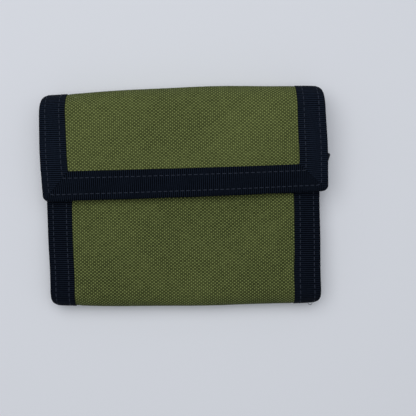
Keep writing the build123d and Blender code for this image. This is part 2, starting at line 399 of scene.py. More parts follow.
def corner_cut(v):
    """How much the rounded free corners take off each side of the strip."""
    cut = np.zeros_like(v)
    for distance, radius in ((v, FRONT_CORNER), (strip_length - v, FLAP_CORNER)):
        near = np.clip(radius - distance, 0, radius)
        cut = np.maximum(cut, radius - np.sqrt(radius**2 - near**2))
    return cut


def edge_inset(u, v):
    """Distance to the nearest bound edge, with the narrower front end tape scaled to match."""
    sides = half_width(v) - np.abs(u)
    ends = np.minimum(v * TAPE_WIDTH / FRONT_END_WIDTH, strip_length - v)
    return np.minimum(sides, ends)


def toward_edges(u, v, left, middle, right):
    """A depth that is pinched near the two sides and free in the middle."""
    free = ease((half_width(v) - np.abs(u) - TAPE_BACK_WIDTH) / 7)
    return between(np.where(u < 0, left, right), middle, free)


def flap_share(v):
    return ease((v - v_back_high) / (v_flap_fold - v_back_high))


def shell_depths(u, v):
    outer = 0.30 * (1 - ease((edge_inset(u, v) - TAPE_WIDTH + 1) / 3))
    return outer, toward_edges(u, v, SEWN_SHELL, 1.0, SEWN_SHELL)


def lining_depths(u, v):
    on_flap = flap_share(v)
    right = between(MOUTH_LINING, SEWN_LINING, on_flap)
    outer = toward_edges(u, v, SEWN_LINING, between(FREE_LINING, FREE_FLAP_LINING, on_flap), right)
    return outer, outer + 0.25 + 0.1 * ease((edge_inset(u, v) - 8) / 8)


def pocket_layer(sheets_below, middle, top=0.0, gape=0.0):
    """Depths of a pocket sheet; its top edge may gape away from the sheet below."""
    def depths(u, v):
        sewn = sheets_below * SEWN_SHEET
        outer = toward_edges(u, v, SEWN_STACK + sewn, middle, MOUTH_STACK + sewn)
        inset = half_width(v) - np.abs(u)
        outer = outer + gape * bump(v, top, 7) * ease((inset - 12) / 30)
        free = ease((inset - TAPE_BACK_WIDTH) / 5)
        return outer, outer + between(THIN_POCKET, POCKET_THICKNESS, free)
    return depths


v_pocket_low = back_v(corner_mm("coin_pocket_panel", 0)[1])
v_pocket_high = back_v(corner_mm("coin_pocket_panel", 1)[1])
v_upper_top = back_v(corner_mm("card_pocket_upper", 1)[1])
v_lower_top = back_v(corner_mm("card_pocket_lower", 1)[1])

coin_depths = pocket_layer(0, corner_mm("coin_pocket_panel", 0)[2])
upper_depths = pocket_layer(1, corner_mm("card_pocket_upper", 0)[2], v_upper_top, 0.02)
lower_depths = pocket_layer(2, corner_mm("card_pocket_lower", 0)[2], v_lower_top, 0.6)
window_depths = pocket_layer(0, 2.90)


def pocket_steps(v, base):
    """Depth of the sewn stack's back along one side, stepping over each pocket's edge."""
    depth = np.full_like(v, base, dtype=float)
    for v_high in (v_pocket_high, v_upper_top, v_lower_top):
        depth += SEWN_SHEET * ease((v - v_pocket_low + 1) / 2) * ease((v_high + 1 - v) / 2)
    return depth + SEWN_SHEET * ease((v - 6) / 2) * ease((v_front_fold - v) / 2)


def left_stack(v):
    return pocket_steps(v, SEWN_STACK)


def right_shell_stack(v):
    """The shell alone along the note compartment's mouth, the whole stack on the flap."""
    return between(SEWN_SHELL, SEWN_STACK, flap_share(v))


# ---- Edge tapes ----
OUTER_INSETS = (11.5, 11.35, 11.0, 9.9, 9.3, 8.9, 8.5, 7.6, 6.0, 4.4, 3.3, 2.8, 2.3, 1.5, 0.9)
INNER_INSETS = (0.9, 1.6, 2.3, 2.8, 3.3, 5.0, 7.0, 8.5, 8.9, 9.3, 10.2, 10.5)
STITCH_ROWS = (2.8, 8.9)
TURN_STEPS = 6
ROW_GROOVE = 0.07  # how deep a stitch row presses into the tape, and half how wide
ROW_GROOVE_HALF = 0.45
SELVEDGE_ROUNDING = 0.12
MITRE_GROOVE = 0.2


def tape_leg(insets, selvedge, face, thickness, inward):
    """One flat leg of a folded tape, with a rounded selvedge and a groove under each stitch row."""
    insets = np.array(insets)
    groove = ROW_GROOVE * sum(bump(insets, row, ROW_GROOVE_HALF) for row in STITCH_ROWS)
    rounding = SELVEDGE_ROUNDING * (insets == selvedge)
    outer = face + inward * (groove + rounding)
    inner = face + inward * (thickness - rounding / 2)
    return np.column_stack((insets, outer)), np.column_stack((insets, inner))


def tape_section(top, back, thickness):
    """Outer and inner outline of a folded tape as (inset, depth) pairs.

    top is the depth of its outer face and back the depth of the stack it is folded over."""
    back_face = back + LEG_GAP + thickness
    middle = (top + back_face) / 2
    half_height = (back_face - top) / 2
    reach = OUTER_INSETS[-1]
    angles = math.pi * np.arange(1, TURN_STEPS) / TURN_STEPS
    turns = [
        np.column_stack((
            reach - (reach - within) * np.sin(angles),
            middle - (half_height - within) * np.cos(angles)))
        for within in (0, thickness)]
    outer_leg = tape_leg(OUTER_INSETS, OUTER_INSETS[0], top, thickness, 1)
    inner_leg = tape_leg(INNER_INSETS, INNER_INSETS[-1], back_face, thickness, -1)
    return [np.vstack(parts) for parts in zip(outer_leg, turns, inner_leg)]


def tape_mesh(name, path, top, backs, thickness, material, base=lambda u, v: 0.0):
    """Sweeps a folded tape along a path, over a stack that reaches down to backs.

    The path is (outer edge, inner edge, texture axis of each band, groove of each row).
    All depths are counted from base(u, v)."""
    outer_path, inner_path, axes, grooves = path
    rows = ([], [])
    textures = ([], [])
    for edge, inside, back, groove in zip(outer_path, inner_path, backs, grooves):
        sections = tape_section(top, back, thickness)
        pressed = groove * ease(sections[0][:, 0] / 2)
        pressed[len(OUTER_INSETS):] *= -1
        places = [edge + (inside - edge) * section[:, 0:1] / TAPE_WIDTH for section in sections]
        for section, place, store, press in zip(sections, places, rows, (pressed, 0)):
            store.append(fold(*place.T, section[:, 1] + press + base(*place.T)))
        for axis, texture in enumerate(textures):
            texture.append(np.column_stack((distance_along(sections[0]), places[0][:, 1 - axis])))
    starts = [textures[axis][row] for row, axis in enumerate(axes)]
    ends = [textures[axis][row + 1] for row, axis in enumerate(axes)]
    outer, inner = (np.array(points) for points in rows)
    return closed_slab(name, outer, inner, starts, ends, material)


def tape_width(side, v):
    """Width of the left (-1) or right (1) tape, whose inner edge strays as it was sewn."""
    stops = (0.0, v_bottom_middle, v_top_middle, strip_length)
    left, right = (np.interp(v, stops, widths) for widths in (LEFT_TAPE, RIGHT_TAPE))
    straying = 0.08 * np.sin(v / 8 + 2) + 0.06 * np.sin(v / 3.3)
    return np.where(np.asarray(side) < 0, left, right) + straying


def side_path(side, v_start, v_end, setback=0.0):
    """A straight tape path along the left (-1) or right (1) side."""
    v = samples(v_start, v_end, 1.0)
    edge = half_width(v) - setback
    outer = np.column_stack((side * edge, v))
    inner = np.column_stack((side * (edge - tape_width(side, v)), v))
    return outer, inner, [0] * (len(v) - 1), np.zeros(len(v))


LEAD_POINTS = 4  # path points from the end tape's width to a corner's rounding, and round it
ARC_POINTS = 13


def border_path(v_start, v_end, end_width, radius, slant):
    """A tape path down the left side, round a free end at v_end and up the right side."""
    toward = np.sign(v_start - v_end)
    half_end = float(half_width(np.array(v_end)))
    inner_end = half_end - TAPE_WIDTH
    run = samples(abs(v_start - v_end), end_width, 1.0)[:-1]
    run_half = half_width(v_end + toward * run)
    outer = list(zip(run_half, run))
    inner = list(zip(run_half - TAPE_WIDTH, run))
    diagonal = len(outer) + LEAD_POINTS + ARC_POINTS // 2
    corner = [(half_end, e) for e in np.linspace(end_width, radius, LEAD_POINTS, endpoint=False)]
    for angle in np.linspace(0, math.pi / 2, ARC_POINTS):
        corner.append((
            half_end - radius * (1 - math.cos(angle)), radius * (1 - math.sin(angle))))
    corner += [(x, 0.0) for x in np.linspace(half_end - radius, inner_end, 5)[1:]]
    for turn, point in zip(np.linspace(0, math.pi / 2, len(corner)), corner):
        outer.append(point)
        inner.append((inner_end - 0.2 * math.sin(turn), end_width + 0.2 * math.cos(turn)))
    for x in samples(inner_end - 1.5, 0.0, 1.5):
        outer.append((x, 0.0))
        inner.append((x, end_width))

    def both_sides(points):
        x, e = np.array(points).T
        right = np.column_stack((x, v_end + toward * e))
        return np.vstack((right * (-1, 1), right[-2::-1]))

    def widened(points):
        """Moves the inner edge so that each side's tape has its own width."""
        u, v = points.T
        near_side = np.clip(np.abs(u) / inner_end, 0, 1) ** 8
        extra = -np.sign(u) * (tape_width(u, v) - TAPE_WIDTH)
        return np.column_stack((u + extra * near_side, v - toward * slant * u / half_end))

    rows = 2 * len(outer) - 1
    last = rows - 1 - diagonal
    axes = [0 if row < diagonal or row >= last else 1 for row in range(rows - 1)]
    grooves = np.zeros(rows)
    grooves[[diagonal, last]] = MITRE_GROOVE
    return both_sides(outer), widened(both_sides(inner)), axes, grooves


# ---- Stitches ----
STITCH_PITCH = 2.5
POCKET_PITCH = 2.6
STITCH_LENGTH = 1.8
STITCH_WIDTH = 0.36
STITCH_HEIGHT = 0.24
STITCH_SINK = 0.04  # how far a stitch's middle lies below the tape's face
CAPSULE_RINGS = ((-0.5, 0.35), (-0.42, 0.8), (-0.2, 1.0), (0.2, 1.0), (0.42, 0.8), (0.5, 0.35))
CAPSULE_SIDES = 8


def capsules(name, centres, directions, depths, length, width, height, material, lift=0.0):
    """Small rounded rods lying on the strip, each given by its centre, direction and depth."""
    angles = np.arange(CAPSULE_SIDES) * 2 * math.pi / CAPSULE_SIDES
    rings = np.array(CAPSULE_RINGS)
    along = np.repeat(rings[:, 0] * length, CAPSULE_SIDES)
    sideways = np.outer(rings[:, 1], np.cos(angles)).ravel() * width / 2
    above = np.outer(rings[:, 1], np.sin(angles)).ravel() * height / 2
    above = above + lift * (1 - (2 * along / length) ** 2)
    centres = np.asarray(centres, float)
    directions = np.asarray(directions, float)
    directions = directions / np.linalg.norm(directions, axis=1)[:, None]
    normals = np.column_stack((-directions[:, 1], directions[:, 0]))
    place = centres[:, None, :] + along[None, :, None] * directions[:, None, :]
    place = place + sideways[None, :, None] * normals[:, None, :]
    depth = np.asarray(depths, float)[:, None] - above[None, :]
    vertices = fold(place[..., 0], place[..., 1], depth).reshape(-1, 3)
    per_rod = len(rings) * CAPSULE_SIDES
    faces = []
    uvs = []
    for start in range(0, len(vertices), per_rod):
        for ring in range(len(rings) - 1):
            first = start + ring * CAPSULE_SIDES
            for side in range(CAPSULE_SIDES):
                a = first + side
                b = first + (side + 1) % CAPSULE_SIDES
                faces.append((a, b, b + CAPSULE_SIDES, a + CAPSULE_SIDES))
                uvs += [(side, ring), (side + 1, ring), (side + 1, ring + 1), (side, ring + 1)]
        faces.append(tuple(range(start + CAPSULE_SIDES - 1, start - 1, -1)))
        faces.append(tuple(range(start + per_rod - CAPSULE_SIDES, start + per_rod)))
        uvs += [(side, 0) for side in range(2 * CAPSULE_SIDES)]
    return make_piece(name, vertices, faces, uvs, material, smooth_angle=80)


class StitchRun:
    """Collects the stitches of one piece, so that they make a single mesh."""

    def __init__(self):
        self.rows = []

    def add(self, points, depths, pitch=STITCH_PITCH):
        """A row of evenly spaced stitches along a line of strip points, at a depth for each."""
        place = distance_along(points)
        count = max(1, int(place[-1] / pitch))
        at = (np.arange(count) + 0.5) * place[-1] / count
        centres, ahead, behind = (
            np.column_stack([np.interp(at + shift, place, points[:, axis]) for axis in (0, 1)])
            for shift in (0.0, 0.3, -0.3))
        self.rows.append((centres, ahead - behind, np.interp(at, place, depths)))

    def seam(self, v_row, half, depths, lift=0.0):
        """A row straight across the strip, on the inner face of a pocket sheet."""
        u = samples(-half, half, 2.0)
        v = np.full(len(u), v_row)
        self.add(np.column_stack((u, v)), depths(u, v)[1] + lift, POCKET_PITCH)

    def build(self, name):
        centres, directions, depths = (np.concatenate(part) for part in zip(*self.rows))
        return capsules(
            name, centres, directions, depths, STITCH_LENGTH, STITCH_WIDTH, STITCH_HEIGHT, thread)


# ---- Materials ----
class Finish:
    """A procedural material, with short ways to add nodes to it."""

    def __init__(self, name, roughness, specular, sheen=0.0, metallic=0.0):
        self.material = bpy.data.materials.new(name)
        self.material.use_nodes = True
        self.tree = self.material.node_tree
        self.shader = self.tree.nodes["Principled BSDF"]
        self.feed(self.shader, {
            "Roughness": roughness, "Specular IOR Level": specular, "Sheen Weight": sheen,
            "Sheen Roughness": 0.5, "Metallic": metallic})
        self.uv = self.node("UVMap", uv_map="strip").outputs[0]
        self.x, self.y, _ = self.node("SeparateXYZ", {0: self.uv}).outputs

    def feed(self, node, inputs):
        """Gives a node's inputs, by name or place, a value each or a link."""
        for socket, value in inputs.items():
            if isinstance(value, bpy.types.NodeSocket):
                self.tree.links.new(value, node.inputs[socket])
            else:
                node.inputs[socket].default_value = value

    def node(self, kind, inputs=None, **settings):
        node = self.tree.nodes.new("ShaderNode" + kind)
        for setting, value in settings.items():
            setattr(node, setting, value)
        self.feed(node, inputs or {})
        return node

    def math(self, operation, *values):
        return self.node("Math", dict(enumerate(values)), operation=operation).outputs[0]

    def scaled(self, value, factor, offset=0.0):
        return self.math("MULTIPLY_ADD", value, factor, offset)

    def product(self, first, second):
        return self.math("MULTIPLY", first, second)

    def total(self, first, *others):
        for other in others:
            first = self.math("ADD", first, other)
        return first

    def painted_front_shade(self, amount):
        """Painted shade: a loss of lightness on the front panel that eases off along the back."""
        ends = {"Value": self.y, "From Min": v_back_low, "From Max": v_back_high}
        rise = self.node("MapRange", ends, interpolation_type="SMOOTHSTEP").outputs[0]
        return self.scaled(rise, amount, -amount)

    def noise(self, scale, detail=2.0, place=None):
        """Noise with features about 1/scale millimetres wide on the strip, from 0 to 1."""
        inputs = {"Vector": place or self.uv, "Scale": scale, "Detail": detail}
        return self.node("TexNoise", inputs).outputs[0]

    def cell_value(self, x, y):
        """A fixed random number for each yarn crossing."""
        cell = self.node("CombineXYZ", {0: self.math("FLOOR", x), 1: self.math("FLOOR", y)})
        inputs = {"Vector": cell.outputs[0]}
        return self.node("TexWhiteNoise", inputs, noise_dimensions="2D").outputs[0]

    def ridge(self, value):
        """A row of rounded ridges: 0 between them and 1 on top."""
        return self.math("ABSOLUTE", self.math("SINE", self.scaled(value, math.pi)))

    def color(self, share, dark, light):
        """Colours the surface from dark to light by a share."""
        mixed = self.node("Mix", {0: share, 6: (*dark, 1), 7: (*light, 1)}, data_type="RGBA")
        self.feed(self.shader, {"Base Color": mixed.outputs[2]})

    def bump(self, height, distance):
        relief = self.node("Bump", {"Height": height, "Distance": distance * MM, "Strength": 1.0})
        self.feed(self.shader, {"Normal": relief.outputs[0]})


YARN_ACROSS = 0.88  # pitch of the shell's yarns across and along the strip
YARN_ALONG = 0.71
WARP_PITCH = 0.42  # the grosgrain's fine threads


def woven(name, dark, light, pitch_u, pitch_v, relief, moire=0.01, painted_front_shade=0.0):
    """Plain weave: yarns that pass over and under each other by turns."""
    finish = Finish(name, roughness=0.8, specular=0.08)
    sway = finish.scaled(finish.noise(0.05), 0.8)
    across = finish.scaled(finish.total(finish.x, sway), 1 / pitch_u)
    along = finish.scaled(finish.total(finish.y, sway), 1 / pitch_v)
    crossing = finish.total(finish.math("FLOOR", across), finish.math("FLOOR", along))
    over = finish.math("PINGPONG", crossing, 1)
    under = finish.scaled(over, -1, 1)
    pillow = finish.math("POWER", finish.product(finish.ridge(across), finish.ridge(along)), 0.7)
    fibres = finish.total(
        finish.product(finish.ridge(finish.scaled(across, 5)), over),
        finish.product(finish.ridge(finish.scaled(along, 5)), under))
    height = finish.total(pillow, finish.scaled(fibres, 0.1), finish.scaled(over, 0.25))
    finish.bump(height, relief)
    slanting = finish.total(finish.scaled(finish.x, 0.55), finish.scaled(finish.y, 0.8))
    # The colour follows the yarns' relief: painted shade in the gaps between yarns, and a painted
    # highlight on the floats that over marks.
    share = finish.total(
        finish.product(pillow, finish.scaled(over, 0.75, 0.25)),
        finish.scaled(finish.cell_value(across, along), 0.14, 0.03),
        finish.scaled(finish.math("SINE", slanting), moire),
        finish.scaled(finish.noise(0.03, 3), 0.24, -0.13),
        finish.painted_front_shade(painted_front_shade))
    finish.color(share, dark, light)
    return finish.material


def grosgrain(name, dark, light, pitch=0.9, painted_front_shade=0.0):
    """Ribbed tape: ribs across it, each crossed by fine warp threads."""
    finish = Finish(name, roughness=0.85, specular=0.05)
    ribs = finish.scaled(finish.y, 1 / pitch)
    threads = finish.scaled(finish.x, 1 / WARP_PITCH)
    rib = finish.ridge(ribs)
    fine = finish.ridge(threads)
    finish.bump(finish.total(rib, finish.scaled(fine, 0.2)), 0.22)
    # The colour follows the ribs' relief: painted shade between the ribs and between the fine threads.
    share = finish.total(
        finish.product(finish.math("POWER", rib, 3), finish.scaled(fine, 0.3, 0.7)),
        finish.scaled(finish.cell_value(threads, ribs), 0.16, -0.08),
        finish.scaled(finish.noise(0.08, 3), 0.3, -0.17),
        finish.painted_front_shade(painted_front_shade))
    finish.color(share, dark, light)
    return finish.material


def grained(name, dark, light, roughness, scale, relief, specular=0.4, sheen=0.0):
    """A plain finish with a fine grain and a slow change of colour."""
    finish = Finish(name, roughness, specular, sheen)
    grain = finish.noise(scale, 3)
    if relief:
        finish.bump(grain, relief)
    finish.color(finish.scaled(finish.total(grain, finish.noise(0.06)), 0.5), dark, light)
    return finish.material


def clear_sheet(name):
    finish = Finish(name, roughness=0.18, specular=0.6)
    finish.feed(finish.shader, {"Base Color": (0.70, 0.74, 0.77, 1), "Alpha": 0.12})
    finish.bump(finish.noise(0.05, 1), 0.8)
    return finish.material


# CAD parts have no strip coordinates, so these two are placed in the object's own space.
def worn_enamel(name, dark, light):
    finish = Finish(name, roughness=0.32, specular=0.5, metallic=0.6)
    grain = finish.noise(0.4 / MM, 3, finish.node("TexCoord").outputs["Object"])
    edges = finish.math("GREATER_THAN", finish.node("NewGeometry").outputs["Pointiness"], 0.53)
    finish.bump(grain, 0.02)
    finish.color(finish.total(finish.scaled(edges, 0.5), finish.scaled(grain, 0.5)), dark, light)
    return finish.material


def ribbed_rubber(name, dark, light, direction):
    """Moulded pull: fine ribs across the tab."""
    finish = Finish(name, roughness=0.75, specular=0.15, sheen=0.05)
    place = finish.node("TexCoord").outputs["Object"]
    along = finish.node("VectorMath", {0: place, 1: direction}, operation="DOT_PRODUCT")
    rib = finish.ridge(finish.scaled(along.outputs["Value"], 1 / (1.1 * MM)))
    grain = finish.noise(0.6 / MM, 3, place)
    finish.bump(finish.total(rib, finish.scaled(grain, 0.2)), 0.14)
    # The colour follows the ribs: painted shade between them.
    finish.color(finish.total(finish.scaled(rib, 0.4), finish.scaled(grain, 0.4)), dark, light)
    return finish.material


OLIVE = ((0.016, 0.021, 0.006), (0.229, 0.274, 0.091))  # dark and light of each colour
NAVY = ((0.0005, 0.0012, 0.0032), (0.0122, 0.0194, 0.0362))
THREAD_BLUE = ((0.010, 0.014, 0.024), (0.036, 0.046, 0.072))
BLACK = ((0.0025, 0.0028, 0.0034), (0.013, 0.014, 0.017))
COIL_BLACK = (BLACK[0], (0.03, 0.03, 0.034))
HOOK_BLACK = (BLACK[0], (0.022, 0.024, 0.028))
LOOP_BLACK = ((0.004, 0.005, 0.006), (0.026, 0.029, 0.034))
ENAMEL_BLACK = ((0.012, 0.012, 0.014), (0.06, 0.06, 0.064))
PULL_BLACK = ((0.004, 0.006, 0.010), (0.020, 0.027, 0.040))
PULL_TURN = math.radians(-20)

# painted_front_shade darkens the shell cloth and the edge tape on the front panel: painted shade.
olive = woven("olive_nylon", *OLIVE, YARN_ACROSS, YARN_ALONG, 0.17, painted_front_shade=0.07)
pocket_olive = woven("pocket_nylon", *OLIVE, 0.62, 0.56, 0.10, moire=0.02)
black_lining = woven("coated_lining", *BLACK, 0.45, 0.45, 0.05, moire=0.0)
zip_cloth = woven("zip_tape_knit", *BLACK, 0.5, 0.35, 0.06, moire=0.0)
navy_tape = grosgrain("grosgrain_tape", *NAVY, painted_front_shade=0.19)
navy_ribbon = grosgrain("grosgrain_ribbon", *NAVY, pitch=0.7)
thread = grained("thread", *THREAD_BLUE, 0.7, 3.0, 0.0, specular=0.15)
zip_nylon = grained("zip_coil_nylon", *COIL_BLACK, 0.38, 1.0, 0.02)
hook_nylon = grained("hook_nylon", *HOOK_BLACK, 0.5, 2.0, 0.04)
loop_nylon = grained("loop_nylon", *LOOP_BLACK, 0.85, 2.5, 0.08, sheen=0.15)
vinyl = clear_sheet("clear_vinyl")
enamel = worn_enamel("black_enamel", *ENAMEL_BLACK)
rubber = ribbed_rubber("moulded_pull", *PULL_BLACK, (math.cos(PULL_TURN), math.sin(PULL_TURN), 0.0))


# ---- The sewn strip, in four lengths ----
FOLD_REACH = 0.8  # share of a fold's radius over which the strip turns


def fold_ends(place, top):
    """Where a length starts and stops turning: at a fold's flat end and part way round it."""
    y, radius, side = place
    z = 2 * radius if top else 0.0
    reach = FOLD_REACH * radius
    start = (0.0, y * MM, z * MM)
    end = (0.0, (y + side * reach) * MM, (z - reach if top else z + reach) * MM)
    return start, end


@dataclass
class Length:
    """One of the strip's four lengths, with the CAD places it stands for."""

    name: str
    v_start: float
    v_end: float
    bodies: tuple
    bend: tuple
    places: tuple

    def join(self, piece, slot_name, *elements):
        """Fixes a piece's placement in its mesh, in place of the CAD nodes of its elements."""
        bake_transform(piece)
        nodes = [f"{element}_{place}" for element in elements for place in self.places]
        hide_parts(*[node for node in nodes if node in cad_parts])

    def add_tape(
            self, name, stitches, path, backs, *elements, top=-TAPE_PROUD, thickness=TAPE_THICKNESS):
        """A tape over a stack that reaches down to backs, sewn through from both of its faces."""
        self.join(tape_mesh(name, path, top, backs, thickness, navy_tape), "edge_tape", *elements)
        outer, inner = path[:2]
        for inset in STITCH_ROWS:
            line = outer + (inner - outer) * inset / TAPE_WIDTH
            stitches.add(line, np.full(len(line), top + STITCH_SINK))
            stitches.add(line, backs + LEG_GAP + thickness - STITCH_SINK)


bottom_fold = (bottom_fold_y, BOTTOM_RADIUS, -1)
top_fold = (top_fold_y, TOP_RADIUS, 1)
front = Length(
    "front", 0.0, v_bottom_middle, ("front_panel", "bottom_spine"),
    fold_ends(bottom_fold, True), ("front", "end_front"))
back_low = Length(
    "back_low", v_bottom_middle, v_back_middle, ("back_panel", "bottom_spine"),
    fold_ends(bottom_fold, False), ("bottom_spine",))
back_high = Length(
    "back_high", v_back_middle, v_top_middle, ("back_panel", "top_spine"),
    fold_ends(top_fold, False), ("back",))
flap = Length(
    "flap", v_top_middle, strip_length, ("flap", "top_spine"),
    fold_ends(top_fold, True), ("flap", "top_spine", "end_flap"))
lengths = (front, back_low, back_high, flap)

for length in lengths:
    ends = (max(length.v_start, SHELL_INSET), min(length.v_end, strip_length - SHELL_INSET))
    shell = sheet(f"shell_cloth_{length.name}", *ends, SHELL_INSET, shell_depths, olive)
    length.join(shell, "shell_fabric", "shell")
    lining = sheet(f"lining_cloth_{length.name}", *ends, SHELL_INSET, lining_depths, black_lining)
    length.join(lining, "lining_fabric", "lining")

BINDING_TOP = 1.50  # the tape that binds the lining along the note compartment's mouth
BINDING_THICKNESS = 0.30
BINDING_SETBACK = 0.15
BINDING_START = 6.0
BINDING_END = v_flap_fold - 1.0
END_STACK = 2.0  # depth of the layers under the front panel's end tape
CORNER_BLEND = 10.0  # length over which the stack changes round a free corner


def add_border(length, stitches, v_free, end_back, path):
    """A tape down both sides and round a free end, over a stack that is end_back deep there."""
    u, v = path[0].T
    side_backs = np.where(u < 0, left_stack(v), right_shell_stack(v))
    backs = between(end_back, side_backs, ease((np.abs(v - v_free) - 3) / CORNER_BLEND))
    length.add_tape(
        f"tape_border_{length.name}", stitches, path, backs, "tape_left", "tape_right", "tape")


for length in lengths:
    stitches = StitchRun()
    if length is front:
        path = border_path(length.v_end, 0.0, FRONT_END_WIDTH, FRONT_CORNER, 0.0)
        add_border(length, stitches, 0.0, END_STACK, path)
    elif length is flap:
        path = border_path(length.v_start, strip_length, FLAP_END_TAPE, FLAP_CORNER, FLAP_END_SLANT)
        add_border(length, stitches, strip_length, left_stack(np.array(strip_length)), path)
    else:
        for side, label, stack in ((-1, "left", left_stack), (1, "right", right_shell_stack)):
            path = side_path(side, length.v_start, length.v_end)
            length.add_tape(
                f"tape_{label}_{length.name}", stitches, path, stack(path[0][:, 1]), f"tape_{label}")
    binding_start = BINDING_START if length is front else length.v_start
    binding_end = BINDING_END if length is flap else length.v_end
    path = side_path(1, binding_start, binding_end, BINDING_SETBACK)
    length.add_tape(
        f"lining_binding_{length.name}", stitches, path, pocket_steps(path[0][:, 1], MOUTH_STACK),
        "lining_tape", top=BINDING_TOP, thickness=BINDING_THICKNESS)
    length.join(stitches.build(f"stitches_{length.name}"), "edge_tape")


# ---- Inside the back panel: coin pocket, zip and card pockets ----
POCKET_SIDE = 0.9  # pocket sheets end this far inside the tape's outer edge
SLOT_HALF = 2.5  # the zip's slot in the coin pocket
SLOT_END = 49.0
SEAM_OFFSET = 1.3  # the slot's stitches beside its edge
OPENING_SHARES = (0.0, 0.1, 0.9, 1.0)  # the grid's columns beside and across an opening


def spread(stops, step):
    """Grid lines through every stop, about a step apart."""
    lines = [samples(a, b, step)[:-1] for a, b in zip(stops[:-1], stops[1:])]
    return np.concatenate(lines + [[stops[-1]]])


def opening_grid(v_stops, opening_half):
    """A grid with lines along an opening's edges, and a mask that leaves the opening out.

    Along the strip the opening lies between the second and third of v_stops."""
    v_lines = spread(v_stops, CLOTH_STEP)
    shares = spread(OPENING_SHARES, CLOTH_STEP / 90)
    u = np.array([
        np.interp(shares, OPENING_SHARES, (-side, -opening_half, opening_half, side))
        for side in half_width(v_lines) - POCKET_SIDE])
    v = np.broadcast_to(v_lines[:, None], u.shape)
    inside = [
        (lines[:-1] + lines[1:] > 2 * stops[1]) & (lines[:-1] + lines[1:] < 2 * stops[2])
        for lines, stops in ((v_lines, v_stops), (shares, OPENING_SHARES))]
    return u, v, ~np.outer(*inside)


def finish_piece(piece, body, slot_name, *nodes):
    """Attaches a piece to its body, in place of the CAD nodes it stands for."""
    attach(piece, body)
    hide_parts(*nodes)


zip_low = corner_mm("zip_coil", 0)
zip_high = corner_mm("zip_coil", 1)
v_zip = back_v((zip_low[1] + zip_high[1]) / 2)

u, v, keep = opening_grid((v_pocket_low, v_zip - SLOT_HALF, v_zip + SLOT_HALF, v_pocket_high), SLOT_END)
coin_panel = slab("coin_pocket", u, v, *coin_depths(u, v), pocket_olive, keep)
finish_piece(coin_panel, "back_panel", "pocket_fabric", "coin_pocket_panel")

ZIP_PARTING = 0.3  # half the gap between the zip's two tapes
tape_low = corner_mm("zip_tape_lower", 0)
tape_high = corner_mm("zip_tape_upper", 1)
for label, v_start, v_end in (
    ("lower", back_v(tape_low[1]), v_zip - ZIP_PARTING),
    ("upper", v_zip + ZIP_PARTING, back_v(tape_high[1])),
):
    u, v = rectangle(v_start, v_end, tape_low[0], tape_high[0])
    face = coin_depths(u, v)[0]
    cloth = slab(f"zip_cloth_{label}", u, v, face - 0.30, face - 0.05, zip_cloth)
    finish_piece(cloth, "back_panel", "zip_tape", f"zip_tape_{label}")

COIL_PITCH = 1.3
TOOTH_LENGTH = 2.3
TOOTH_WIDTH = 0.62
TOOTH_STAGGER = 0.35
tooth_u = np.arange(zip_low[0] + 0.6, zip_high[0] - 0.5, COIL_PITCH / 2)
tooth_side = np.where(np.arange(len(tooth_u)) % 2, TOOTH_STAGGER, -TOOTH_STAGGER)
teeth = capsules(
    "zip_teeth", np.column_stack((tooth_u, v_zip + tooth_side)), [(0.0, 1.0)] * len(tooth_u),
    np.full(len(tooth_u), (zip_low[2] + zip_high[2]) / 2 + 0.05), TOOTH_LENGTH, TOOTH_WIDTH,
    zip_high[2] - zip_low[2] - 0.1, zip_nylon)
finish_piece(teeth, "back_panel", "zip_coil", "zip_coil")

RIBBON_REACH = 7.7  # inset scale that leaves a folded ribbon about 7 mm wide
RIBBON_TOP = -0.26  # the ribbon's outer face against the pocket's
RIBBON_THICKNESS = 0.22
RIBBON_OVERHANG = 0.4  # how far the ribbon stands over the pocket's top edge
RIBBON_SEAMS = (0.8, 5.6)
RIBBON_SEAM_LIFT = 0.19


def ribbon_trim(name, v_top, depths, half):
    """A ribbon folded over a pocket's top edge."""
    u = samples(-half, half, 1.6)
    edge = np.column_stack((u, np.full(len(u), v_top + RIBBON_OVERHANG)))
    path = (edge, edge - (0.0, RIBBON_REACH), [1] * (len(u) - 1), np.zeros(len(u)))
    backs = np.full(len(u), POCKET_THICKNESS)
    return tape_mesh(
        name, path, RIBBON_TOP, backs, RIBBON_THICKNESS, navy_ribbon, lambda u, v: depths(u, v)[0])


seams = StitchRun()
for label, v_top, depths in (
    ("upper", v_upper_top, upper_depths), ("lower", v_lower_top, lower_depths),
):
    pocket = sheet(
        f"card_pocket_cloth_{label}", v_pocket_low, v_top, POCKET_SIDE, depths, pocket_olive)
    finish_piece(pocket, "back_panel", "pocket_fabric", f"card_pocket_{label}")
    half = float(half_width(np.array(v_top))) - TAPE_BACK_WIDTH - 0.4
    trim = ribbon_trim(f"card_ribbon_{label}", v_top, depths, half)
    finish_piece(trim, "back_panel", "trim_ribbon", f"card_pocket_trim_{label}")
    for below_edge in RIBBON_SEAMS:
        seams.seam(v_top - below_edge, half, depths, RIBBON_SEAM_LIFT)
for v_row in (v_zip - SLOT_HALF - SEAM_OFFSET, v_zip + SLOT_HALF + SEAM_OFFSET):
    seams.seam(v_row, SLOT_END + 1, coin_depths)
seams.seam(v_pocket_low + 1.6, 50, lower_depths)
seams.seam(v_pocket_high - 1.6, 50, coin_depths)
finish_piece(seams.build("stitches_pockets"), "back_panel", "pocket_fabric")

